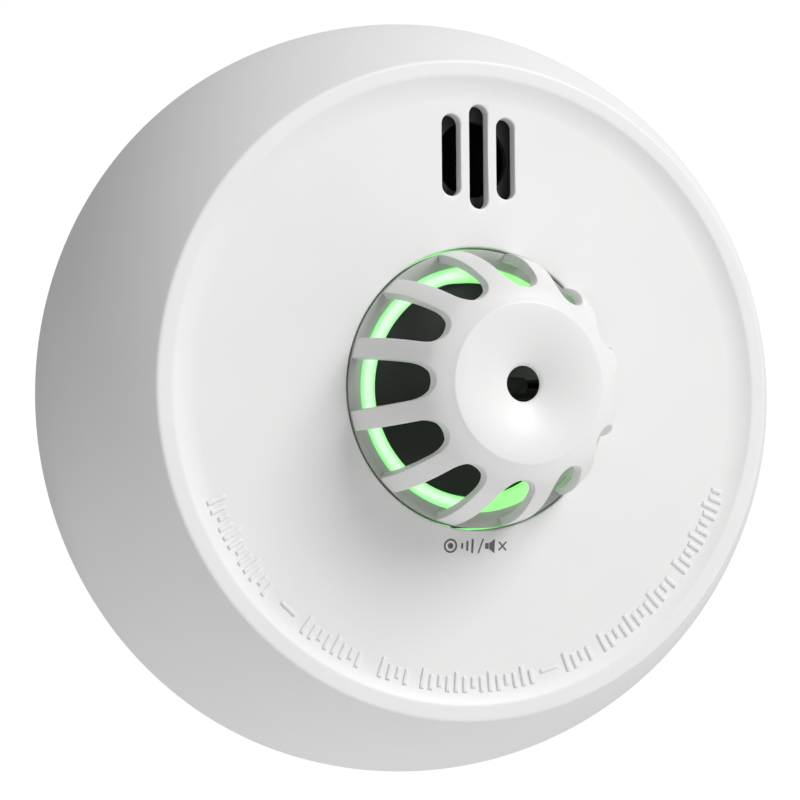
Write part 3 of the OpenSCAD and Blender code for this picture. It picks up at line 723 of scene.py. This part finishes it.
def cageCurves(made):
    foot, brow = Vector((made["footR"], made["footH"])), Vector((made["browR"], made["browH"]))
    chord = (brow - foot).length
    sideR = (chord * chord / 4 + made["bulge"] ** 2) / (2 * made["bulge"])
    inward = Vector((foot.y - brow.y, brow.x - foot.x)) / chord
    side = (foot + brow) / 2 + inward * (sideR - made["bulge"])
    kneeY = made["top"] - made["knee"]
    knee = Vector((side.x + math.sqrt(sideR ** 2 - (kneeY - side.y) ** 2), kneeY))
    kneeAngle = math.asin((kneeY - side.y) / sideR) + math.radians(made["kneeTurn"])
    kneeWay = Vector((math.cos(kneeAngle), math.sin(kneeAngle)))
    hubEdge = Vector((made["hubR"] + made["hubEdge"][0], made["top"] - made["hubEdge"][1]))
    span = hubEdge - knee
    kneeR = -span.dot(span) / (2 * span.dot(kneeWay))
    kneeMid = knee - kneeR * kneeWay

    def outer(r):
        if r <= knee.x:
            bent = kneeMid.y + math.sqrt(max(kneeR ** 2 - (r - kneeMid.x) ** 2, 0))
            straight = hubEdge.y + (knee.y - hubEdge.y) * (r - hubEdge.x) / (knee.x - hubEdge.x)
            return straight + (bent - straight) * made["shoulder"]
        return side.y + math.sqrt(max(sideR ** 2 - (min(r, foot.x) - side.x) ** 2, 0))

    inR = sideR - made["thick"]

    def inner(r):
        return min(made["hubLow"], side.y + math.sqrt(max(inR ** 2 - (r - side.x) ** 2, 0)))

    def outerLine(start, steps):  # radius and height down the outside, evenly along the curve
        line, first = [], start
        if start < knee.x:
            above = [start + (knee.x - start) * k / 4 for k in range(4)]
            line, first = [(r, outer(r)) for r in above], knee.x
        a0, a1 = math.acos((first - side.x) / sideR), math.asin((foot.y - side.y) / sideR)
        return line + arc(side, sideR, a0, a1, steps - len(line) - 1)

    def innerLine(start, steps):
        underHub = side.x + math.sqrt(inR ** 2 - (made["hubLow"] - side.y) ** 2)
        a0 = math.acos((max(start, underHub) - side.x) / inR)
        a1 = math.asin((made["ledge"] - side.y) / inR)
        return arc(side, inR, a0, a1, steps - 1)

    return outer, inner, outerLine, innerLine, hubEdge


def joined(before, corner, after, soft):  # a rounded corner between two straight ways
    start = corner + (before - corner).normalized() * soft
    end = corner + (after - corner).normalized() * soft
    return bend(start, corner, end, 5)


def ribColumn(outs, ins, soft):  # outs and ins run from the middle to the edge
    line = outs[:-1] + joined(outs[-2], outs[-1], ins[-1], soft)
    return line + joined(outs[-1], ins[-1], ins[-2], soft) + ins[:-1][::-1]


def halfRib(made):
    outer, inner, outerLine, innerLine, hubEdge = cageCurves(made)
    half = math.pi / made["ribs"]
    wide = made["ribWide"] / 2
    hole = (made["openingIn"] - wide) / (1 - math.sin(half))
    holeR = hole * math.sin(half) - wide
    holeMid = Vector((hole * math.cos(half), hole * math.sin(half)))
    shares = (0, 0.36, 0.62, 1)  # from the middle of the rib to its edge
    columns = []
    joinR = math.hypot(holeMid.x, wide)
    arcPart = made["turnsPerRib"] // 2
    for k in range(made["webColumns"]):
        t = k / made["webColumns"]
        a = math.pi + half + (math.pi * 0.5 - half) * t
        edge = holeMid + Vector((math.cos(a), math.sin(a))) * holeR
        if k <= arcPart:
            turn = half * (1 - k / arcPart)
            middle = Vector((math.cos(turn), math.sin(turn))) * hubEdge.x
        else:
            far = (k - arcPart) / (made["webColumns"] - arcPart)
            middle = Vector((hubEdge.x + (joinR - hubEdge.x) * far, 0))
        outs, ins = [], []
        for share in shares:
            p = middle.lerp(edge, share)
            outs.append(spot(p.x, p.y, outer(p.length)))
            ins.append(spot(p.x, p.y, inner(p.length)))
        columns.append(ribColumn(outs, ins, made["soft"] * mm))
    outside = outerLine(joinR, made["ribColumns"])
    inside = innerLine(joinR, made["ribColumns"])
    footX, sunk = made["footR"] - 0.03, made["ringLow"] + 0.5  # the ribs end inside the foot ring
    outside += [(footX, made["ledge"]), (footX, sunk)]
    inside += [(inside[-1][0], made["ledge"] - 0.2), (inside[-1][0], sunk)]
    for (r, h), (rIn, hIn) in zip(outside, inside):
        outs = [polar(r, math.asin(wide / r) * share, h) for share in shares]
        ins = [polar(rIn, math.asin(wide / rIn) * share, hIn) for share in shares]
        columns.append(ribColumn(outs, ins, made["soft"] * mm))
    return columns


def hubLine(made):  # the top band, the funnel, the eye's rolled edge and the hub's flat underside
    hubX, hubH = made["hubR"] + made["hubEdge"][0], made["top"] - made["hubEdge"][1]
    bandIn = made["hubR"] - made["band"]
    funnelMid = bandIn + made["funnelFlat"]
    drop = made["funnel"]
    slopeR, flatR = funnelMid - made["eyeR"], funnelMid - bandIn
    funnelUp = (slopeR ** 2 - flatR ** 2 + drop ** 2) / (2 * drop)
    funnelR = math.hypot(funnelMid - bandIn, funnelUp)
    line = softened([(hubX, hubH, 0), (made["hubR"], made["top"], 0.16), (bandIn, made["top"], 0)])
    centreH = made["top"] - funnelUp
    for k in range(1, made["funnelSteps"]):
        r = bandIn + (made["eyeR"] + 0.18 - bandIn) * k / made["funnelSteps"]
        line.append((r, centreH + math.sqrt(funnelR ** 2 - (funnelMid - r) ** 2)))
    eyeR, eyeH, low = made["eyeR"], made["top"] - drop, made["hubLow"]
    return line + [(eyeR + 0.05, eyeH - 0.02), (eyeR, eyeH - 0.12), (eyeR, eyeH - 0.3),
                   (eyeR + 1.1, low + 0.1), (eyeR + 1.35, low), (7.0, low), (hubX, low)]


def footLine(made):  # the foot ring, with the ledge that falls inwards between the ribs
    inside = made["ledge"] - made["ledgeFall"]
    return softened([(made["ringIn"], made["ringLow"], 0.15),
                     (made["footR"], made["ringLow"], 0.25), (made["footR"], made["ledge"], 0.12),
                     (made["footR"] - 0.9, made["ledge"] - 0.1, 0.6),
                     (made["ledgeIn"], inside, 0.08), (made["ledgeIn"], inside - 0.5, 0.1),
                     (made["ringIn"], inside - 0.8, 0)])


def addBlock(mesh, made, a, out, deep, bottom, top):  # part of a leg, turned to its angle
    block = bmesh.ops.create_cube(mesh, size=1)["verts"]
    for vert in block:
        x, y, z = vert.co
        px, py = out + x * deep, y * made["legWide"]
        vert.co = spot(px * math.cos(a) - py * math.sin(a), px * math.sin(a) + py * math.cos(a),
                       (bottom + top) / 2 + z * (top - bottom))
    edges = list({e for v in block for e in v.link_edges})
    bmesh.ops.bevel(mesh, geom=edges, offset=made["legSoft"] * mm, segments=3, profile=0.5,
                    affect="EDGES")


def addCage(made):
    mesh = bmesh.new()
    columns = halfRib(made)
    for rib in range(made["ribs"]):
        turn = Matrix.Rotation(-2 * math.pi * (rib + 0.5) / made["ribs"], 3, "Y")
        for flip in (1, -1):
            grid = [[mesh.verts.new(turn @ Vector((p.x, p.y, p.z * flip))) for p in column]
                    for column in columns]
            skin(mesh, grid, ringed=False)
    lathe(mesh, hubLine(made), made["ribs"] * made["turnsPerRib"], closed=False)
    bmesh.ops.remove_doubles(mesh, verts=mesh.verts, dist=2e-7)
    bmesh.ops.dissolve_degenerate(mesh, dist=1e-8, edges=mesh.edges)
    fillHoles(mesh)
    upper = asObject(mesh, "cageUpper")
    ring = bmesh.new()
    lathe(ring, footLine(made), made["ringTurns"])
    result = combine(upper, asObject(ring, "cageRing"), "UNION")
    legTop, hookTop = made["ringLow"] + made["legIntoRing"], made["hookH"] + made["hookTall"]
    hookAt = made["legAt"] + made["hookOut"]
    for angle, low in zip(made["legAngles"], made["legLow"]):
        a = math.radians(angle)
        addBlock(result, made, a, made["legAt"], made["legThick"], low, legTop)
        addBlock(result, made, a, hookAt, made["hookThick"], made["hookH"], hookTop)
    piece = finishPiece("cage_shell", result, "cagePlastic", "test_button",
                        ("push_cage",), 38)
    evenShading(piece)
    print("cage made:", len(piece.data.polygons), "faces")


addCage(cageSet)


# raised marks along the lower rim: plain ticks in groups, with two long dashes between

tickSet = {
    "inner": 40.8, "outer": 43.5, "shortOuter": 42.9, "shortInner": 41.5,
    "wide": 0.46, "lift": 0.26, "edge": 0.1, "sunk": 0.15,
    "roll": ((0.8, 0.12), (0.35, 0.02)),  # shares of the edge, and how far below the top
    "step": 1.78,  # degrees between ticks
    "middle": 42.2, "dash": (42.0, 42.35),
    "groups": (("ticks", -157, 12), ("dash", -133.6, 3.6), ("ticks", -127, 8),
               ("ticks", -109.5, 4), ("ticks", -100.6, 14), ("dash", -75.2, 3.6),
               ("ticks", -69.4, 4), ("ticks", -60.5, 12), ("ticks", -37.4, 11)),
}


def raisedPad(mesh, made, near, far, first, last, rows, columns):
    middle = (near + far) / 2

    def steps(low, high, parts):  # places along one way, each with its height above the face
        rolled = [(made["edge"], -made["sunk"])]
        rolled += [(made["edge"] * share, made["lift"] - down) for share, down in made["roll"]]
        flat = [(low + (high - low) * k / parts, made["lift"]) for k in range(parts + 1)]
        return ([(low - out, up) for out, up in rolled] + flat
                + [(high + out, up) for out, up in rolled[::-1]])

    grid = []
    for r, up in steps(near, far, rows):
        grid.append([mesh.verts.new(polar(r, along / middle, faceHeight(r) + min(up, upToo)))
                     for along, upToo in steps(first * middle, last * middle, columns)])
    skin(mesh, grid, ringed=False)
    inside = grid[1:-1]
    mesh.faces.new(grid[0] + [line[-1] for line in inside] + grid[-1][::-1]
                   + [line[0] for line in inside][::-1])


def addTicks(made):
    mesh = bmesh.new()
    halfTurn = made["wide"] / made["middle"] / 2
    for kind, start, amount in made["groups"]:
        if kind == "dash":
            raisedPad(mesh, made, *made["dash"], math.radians(start), math.radians(start + amount),
                      1, 8)
            continue
        for k in range(amount):
            a = math.radians(start + k * made["step"])
            tall = k % 4 == 0
            raisedPad(mesh, made, made["inner"] if tall else made["shortInner"],
                      made["outer"] if tall or k % 2 else made["shortOuter"],
                      a - halfTurn, a + halfTurn, 5, 1)
    piece = finishPiece("rim_ticks", mesh, "coverPlastic", "alarm_head", crease=50)
    print("raised ticks made:", len(piece.data.polygons), "faces")


addTicks(tickSet)


# printed mark under the cage: a push button, a stroke and a crossed-out speaker, all plain signs

signSet = {
    "low": -22.62, "inkUp": 0.03, "inkDown": 0.03,
    "buttonAt": -4.15, "buttonR": 1.02, "ringWide": 0.26, "dotR": 0.42,
    "barsAt": (-2.35, -1.55, -0.75), "barTall": (0.8, 1.4, 2.0), "barWide": 0.3,
    "slashAt": 0.55, "slash": (0.35, 1.05), "slashWide": 0.216,  # half sizes across and up
    "speakerAt": 2.0, "box": (-0.75, -0.2, 0.42), "horn": (-0.1, 0.75, 0.42, 1.05),
    "crossAt": 4.0, "cross": (0.6, 0.62), "crossWide": 0.2295,
}


def inkShape(mesh, made, loop):
    up, down = [], []
    for x, y in loop:
        h = faceHeight(math.hypot(x, y))
        up.append(mesh.verts.new(spot(x, y, h + made["inkUp"])))
        down.append(mesh.verts.new(spot(x, y, h - made["inkDown"])))
    mesh.faces.new(up)
    mesh.faces.new(down[::-1])
    skin(mesh, [down, up])


def inkLine(mesh, made, start, end, wide):
    a, b = Vector(start), Vector(end)
    way = (b - a).normalized()
    side = Vector((-way.y, way.x)) * wide / 2
    inkShape(mesh, made, [a + side, a - side, b - side, b + side])


def inkRing(mesh, made, x, y, outR, inR):
    rings = []
    for r, lift in ((outR, made["inkUp"]), (inR, made["inkUp"]),
                    (inR, -made["inkDown"]), (outR, -made["inkDown"])):
        around = [(x + r * math.cos(a), y + r * math.sin(a)) for a in aroundAngles(40)]
        rings.append([mesh.verts.new(spot(px, py, faceHeight(math.hypot(px, py)) + lift))
                      for px, py in around])
    skin(mesh, rings, closed=True)


def addSign(made):
    mesh = bmesh.new()
    y = made["low"]
    x, dotR = made["buttonAt"], made["dotR"]
    inkRing(mesh, made, x, y, made["buttonR"], made["buttonR"] - made["ringWide"])
    inkShape(mesh, made, [(x + dotR * math.cos(a), y + dotR * math.sin(a))
                          for a in aroundAngles(24)])
    for x, tall in zip(made["barsAt"], made["barTall"]):
        inkLine(mesh, made, (x, y - tall / 2), (x, y + tall / 2), made["barWide"])
    x, (half, tall) = made["slashAt"], made["slash"]
    inkLine(mesh, made, (x - half, y - tall), (x + half, y + tall), made["slashWide"])
    x, (left, right, tall) = made["speakerAt"], made["box"]
    inkShape(mesh, made, [(x + left, y - tall), (x + right, y - tall),
                          (x + right, y + tall), (x + left, y + tall)])
    left, right, small, large = made["horn"]
    inkShape(mesh, made, [(x + left, y - small), (x + right, y - large),
                          (x + right, y + large), (x + left, y + small)])
    x, (half, tall) = made["crossAt"], made["cross"]
    for flip in (1, -1):
        inkLine(mesh, made, (x - half, y - tall * flip), (x + half, y + tall * flip),
                made["crossWide"])
    bmesh.ops.remove_doubles(mesh, verts=mesh.verts, dist=1e-7)
    piece = finishPiece("button_sign", mesh, "greyInk", "alarm_head", crease=20)
    print("printed sign made:", len(piece.data.polygons), "faces")


addSign(signSet)


# round wire: springs and sensor leads are tubes swept along their paths


def tube(mesh, path, radius, sides):
    rings, side = [], None
    for k, point in enumerate(path):
        way = (path[min(k + 1, len(path) - 1)] - path[max(k - 1, 0)]).normalized()
        if side is None:
            side = way.orthogonal().normalized()
        side = (side - way * side.dot(way)).normalized()
        across = way.cross(side)
        rings.append([mesh.verts.new(point + (side * math.cos(a) + across * math.sin(a)) * radius)
                      for a in aroundAngles(sides)])
    skin(mesh, rings)
    mesh.faces.new(rings[0][::-1])
    mesh.faces.new(rings[-1])


springSet = {
    "at": 18.9, "angles": (50, 130, 230, 310), "radius": 1.2, "wire": 0.2,
    "turns": 5, "endTurns": 0.9,
    "endRise": 2.1,  # wire radii that a closed end rises in one turn
    "low": 21.5, "high": 28.55, "travel": 1.0, "parts": 28, "sides": 8,
}


def addSprings(made):
    mesh = bmesh.new()
    flat = made["endRise"] * made["wire"] * made["endTurns"]
    low, high = made["low"] + made["wire"], made["high"] - made["wire"]
    total = made["turns"] + made["endTurns"]
    for a in map(math.radians, made["angles"]):
        x, y = made["at"] * math.cos(a), made["at"] * math.sin(a)
        path = []
        for k in range(int(total * made["parts"]) + 1):
            turn = k / made["parts"]
            first = min(turn, made["endTurns"]) / made["endTurns"]
            last = max(turn - (total - made["endTurns"]), 0) / made["endTurns"]
            middle = min(max(turn - made["endTurns"], 0) / (total - 2 * made["endTurns"]), 1)
            h = low + flat * (first + last) + (high - low - 2 * flat) * middle
            path.append(polar(made["radius"], math.tau * turn, h) + spot(x, y, 0))
        tube(mesh, path, made["wire"] * mm, made["sides"])
    piece = finishPiece("return_springs", mesh, "springSteel", "alarm_head",
                        ("cage_springs",), 60)
    spot(0, 0, made["low"])
    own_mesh(piece)
    print("springs made")


addSprings(springSet)


# sensor: a dipped epoxy bead on two sleeved leads that bend down into the post

beadSet = {
    "x": 0.2, "h": 42.4, "radius": 1.1, "length": 4.6, "turns": 36, "parts": 40,
    "neck": 0.42, "roundTo": 0.25, "taperFrom": 0.86, "tip": 0.012,
    "postX": 8.5, "gap": 0.45, "leadR": 0.21, "bendR": 1.1, "leadLow": 13.6,
    "leadWay": ((-0.8, 0.17, 0.03), (0.2, 0.18, 0.04), (2.0, 0.18, 0.05)),  # from the bead's end
    "leadSides": 14, "bendParts": 8,
}


def addSensor(made):
    mesh = bmesh.new()
    left = made["x"] - made["length"] / 2
    rings = []
    for k in range(1, made["parts"]):
        t = k / made["parts"]
        x = left + made["length"] * t
        dome = math.sqrt(max(1 - (1 - min(t / made["roundTo"], 1)) ** 2, 0))
        narrow = max((t - made["taperFrom"]) / (1 - made["taperFrom"]), 0)
        tail = 1 - (1 - made["neck"] / made["radius"]) * (3 - 2 * narrow) * narrow ** 2
        size = made["radius"] * dome * tail
        rings.append([mesh.verts.new(spot(x, size * math.sin(a), made["h"] + size * math.cos(a)))
                      for a in aroundAngles(made["turns"])])
    skin(mesh, rings)
    end = left + made["length"]
    for ring, x in ((rings[0], left + made["tip"]), (rings[-1], end)):
        tip = mesh.verts.new(spot(x, 0, made["h"]))
        for n in range(made["turns"]):
            mesh.faces.new((ring[n], ring[(n + 1) % made["turns"]], tip))
    finishPiece("sensor_bead", mesh, "beadEpoxy", "alarm_head",
                ("thermistor_bead",), 50)
    leads = bmesh.new()
    for s in (-1, 1):
        x, h, turnR = made["postX"] + s * made["gap"], made["h"] + s * made["gap"], made["bendR"]
        path = [spot(end + on, s * up, made["h"] + s * out) for on, up, out in made["leadWay"]]
        path += [spot(px, 0, ph) for ph, px in
                 arc((h - turnR, x - turnR), turnR, 0, math.pi / 2, made["bendParts"])]
        drop = h - turnR - made["leadLow"]
        path += [spot(x, 0, made["leadLow"] + drop * k / 4) for k in (3, 2, 1, 0)]
        tube(leads, path, made["leadR"] * mm, made["leadSides"])
    finishPiece("sensor_leads", leads, "sleevePlastic", "alarm_head",
                ("thermistor_leads",), 50)
    print("sensor made")


addSensor(beadSet)


# woven dust screen across the mouth of the sounder

screenSet = {
    "x": 0, "y": 33.8, "radius": 5.58, "low": 26.22, "high": 26.4, "middleR": 0.4, "turns": 64,
    "weave": 1900,  # threads per metre
    "shades": ((0.0008, 0.0008, 0.0008), (0.003, 0.003, 0.003)),
}


def addScreen(made):
    material, shader, wire, place = startMaterial("screenCloth", {"Specular IOR Level": 0.0})
    flat = wire.node("ShaderNodeVectorMath", {"operation": "MULTIPLY"},
                     {0: place, 1: (made["weave"], 0.0, made["weave"])})
    across, _, up = flat.parts()
    over, under = (wire.sum("SINE", way * math.tau) for way in (across, up))
    thread = (over * under * 0.5 + 0.5).clamped()
    feed(wire, shader, Base_Color=blendColour(wire, thread, *made["shades"]),
         Roughness=0.9 - thread * 0.15, Normal=relief(wire, thread, 0.00004, 0.8))
    finishes["screenCloth"] = material
    mesh = bmesh.new()
    line = softened([(made["radius"], made["low"], 0.06), (made["radius"], made["high"], 0.08),
                     (made["middleR"], made["high"], 0), (made["middleR"], made["low"], 0)])
    lathe(mesh, line, made["turns"], closed=False, centre=(made["x"], made["y"]))
    fillHoles(mesh)
    finishPiece("dust_screen", mesh, "screenCloth", "alarm_head")
    print("dust screen made")


addScreen(screenSet)


# white paper below, which softens the shade under the object


def addFloor(made):
    material, shader, wire, place = startMaterial(
        "floorPaper", {"Emission Strength": made["floorGlow"], "Emission Color": (1, 1, 1, 1)})
    fibre = speckle(wire, place, 300)
    feed(wire, shader, Base_Color=blendColour(wire, fibre, *made["floorShades"]),
         Roughness=0.8 + fibre * 0.1, Normal=relief(wire, fibre, 0.0001, 0.3))
    half = made["floorSize"] / 2
    corners = [(-half, -half, 0), (half, -half, 0), (half, half, 0), (-half, half, 0)]
    mesh = bpy.data.meshes.new("floor")
    mesh.from_pydata(corners, [], [(0, 1, 2, 3)])
    floor = bpy.data.objects.new("floor", mesh)
    floor.location.z = made["floorHeight"]
    scene.collection.objects.link(floor)
    mesh.materials.append(material)


addFloor(lightSet)
print("floor laid")
